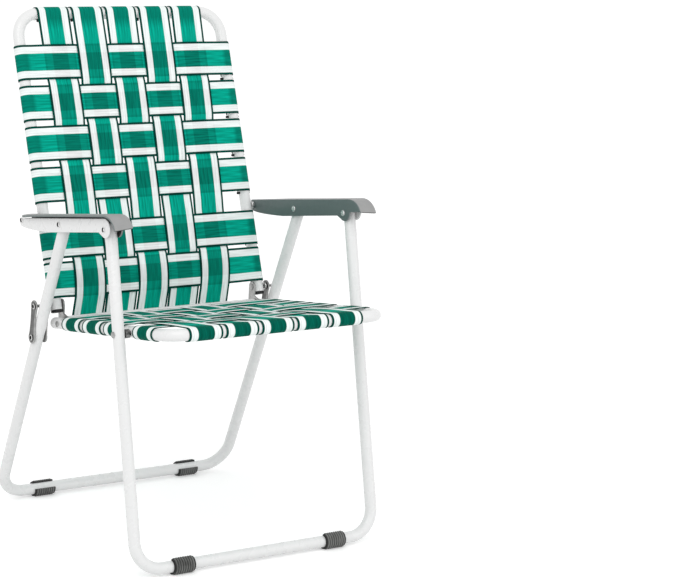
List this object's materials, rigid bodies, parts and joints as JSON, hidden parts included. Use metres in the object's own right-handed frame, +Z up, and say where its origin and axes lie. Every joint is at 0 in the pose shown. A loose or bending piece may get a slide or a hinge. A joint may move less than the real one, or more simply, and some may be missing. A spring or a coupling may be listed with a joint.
{
  "type": "folding webbed lawn chair",
  "caption": "Folding lawn chair: white bent steel tubes, woven striped webbing on seat and back, grey plastic armrests, riveted links and clip-on feet.",
  "frame": {"origin": "centre of the footprint box, on the floor", "axes": "+Z up; the sitter faces -Y; +X is to the right as seen from the front"},
  "size_m": [0.487, 0.5541, 0.8324],
  "materials": {
    "white_paint": "gloss powder coat",
    "webbing": "woven polypropylene webbing, green and white stripes",
    "armrest_plastic": "moulded grey plastic",
    "foot_plastic": "dark grey ribbed plastic",
    "plug_plastic": "black plastic",
    "zinc_steel": "zinc plated"
  },
  "bodies": {
    "front_legs": {"front_leg_frame": "white_paint", "front_foot_left": "foot_plastic", "front_foot_right": "foot_plastic", "seat_pivot_rivet_left": "zinc_steel", "seat_pivot_rivet_right": "zinc_steel", "seat_pivot_bush_left": "zinc_steel", "seat_pivot_bush_right": "zinc_steel"},
    "armrests": {"armrest_cap_left": "armrest_plastic", "armrest_cap_right": "armrest_plastic", "armrest_side_plate_left": "white_paint", "armrest_side_plate_right": "white_paint", "arm_front_rivet_left": "zinc_steel", "arm_front_rivet_right": "zinc_steel", "arm_middle_rivet_left": "zinc_steel", "arm_middle_rivet_right": "zinc_steel", "arm_rear_pin_left": "zinc_steel", "arm_rear_pin_right": "zinc_steel"},
    "rear_legs": {"rear_leg_frame": "white_paint", "rear_foot_left": "foot_plastic", "rear_foot_right": "foot_plastic", "link_lower_rivet_left": "zinc_steel", "link_lower_rivet_right": "zinc_steel"},
    "links": {"link_outer_left": "zinc_steel", "link_outer_right": "zinc_steel", "link_inner_left": "zinc_steel", "link_inner_right": "zinc_steel", "link_upper_pin_left": "zinc_steel", "link_upper_pin_right": "zinc_steel"},
    "seat": {"seat_frame": "white_paint", "rear_crossbar": "white_paint", "hinge_bracket_left": "zinc_steel", "hinge_bracket_right": "zinc_steel", "hinge_rivet_left": "zinc_steel", "hinge_rivet_right": "zinc_steel", "bracket_rivet_left": "zinc_steel", "bracket_rivet_right": "zinc_steel", "seat_long_strap_1": "webbing", "seat_long_strap_2": "webbing", "seat_long_strap_3": "webbing", "seat_long_strap_4": "webbing", "seat_long_strap_5": "webbing", "seat_cross_strap_1": "webbing", "seat_cross_strap_2": "webbing", "seat_cross_strap_3": "webbing", "seat_cross_strap_4": "webbing"},
    "back": {"back_frame": "white_paint", "back_tube_plug_left": "plug_plastic", "back_tube_plug_right": "plug_plastic", "back_long_strap_1": "webbing", "back_long_strap_2": "webbing", "back_long_strap_3": "webbing", "back_long_strap_4": "webbing", "back_long_strap_5": "webbing", "back_cross_strap_1": "webbing", "back_cross_strap_2": "webbing", "back_cross_strap_3": "webbing", "back_cross_strap_4": "webbing", "back_cross_strap_5": "webbing", "back_cross_strap_6": "webbing"}
  },
  "joints": [
    {"name": "seat_fold", "type": "hinge", "parent": "front_legs", "child": "seat", "pos_m": [0, -0.1532, 0.372], "axis": [-1, 0, 0], "range_deg": [0, 76]},
    {"name": "arm_fold", "type": "hinge", "parent": "front_legs", "child": "armrests", "pos_m": [0, -0.119, 0.53], "axis": [-1, 0, 0], "range_deg": [0, 74.03]},
    {"name": "rear_leg_fold", "type": "hinge", "parent": "armrests", "child": "rear_legs", "pos_m": [0, 0.025, 0.513], "axis": [1, 0, 0], "range_deg": [0, 45.01]},
    {"name": "back_fold", "type": "hinge", "parent": "seat", "child": "back", "pos_m": [0, 0.102, 0.365], "axis": [1, 0, 0], "range_deg": [0, 86.36]},
    {"name": "link_fold", "type": "hinge", "parent": "rear_legs", "child": "links", "pos_m": [0, 0.10773, 0.312], "axis": [-1, 0, 0], "range_deg": [0, 132.19]}
  ],
  "couplings": [
    {"joint": "arm_fold", "follows": "seat_fold", "ratio": 0.97345},
    {"joint": "rear_leg_fold", "follows": "seat_fold", "ratio": 0.59162},
    {"joint": "back_fold", "follows": "seat_fold", "ratio": 1.1357},
    {"joint": "link_fold", "follows": "seat_fold", "ratio": 1.7386}
  ]
}
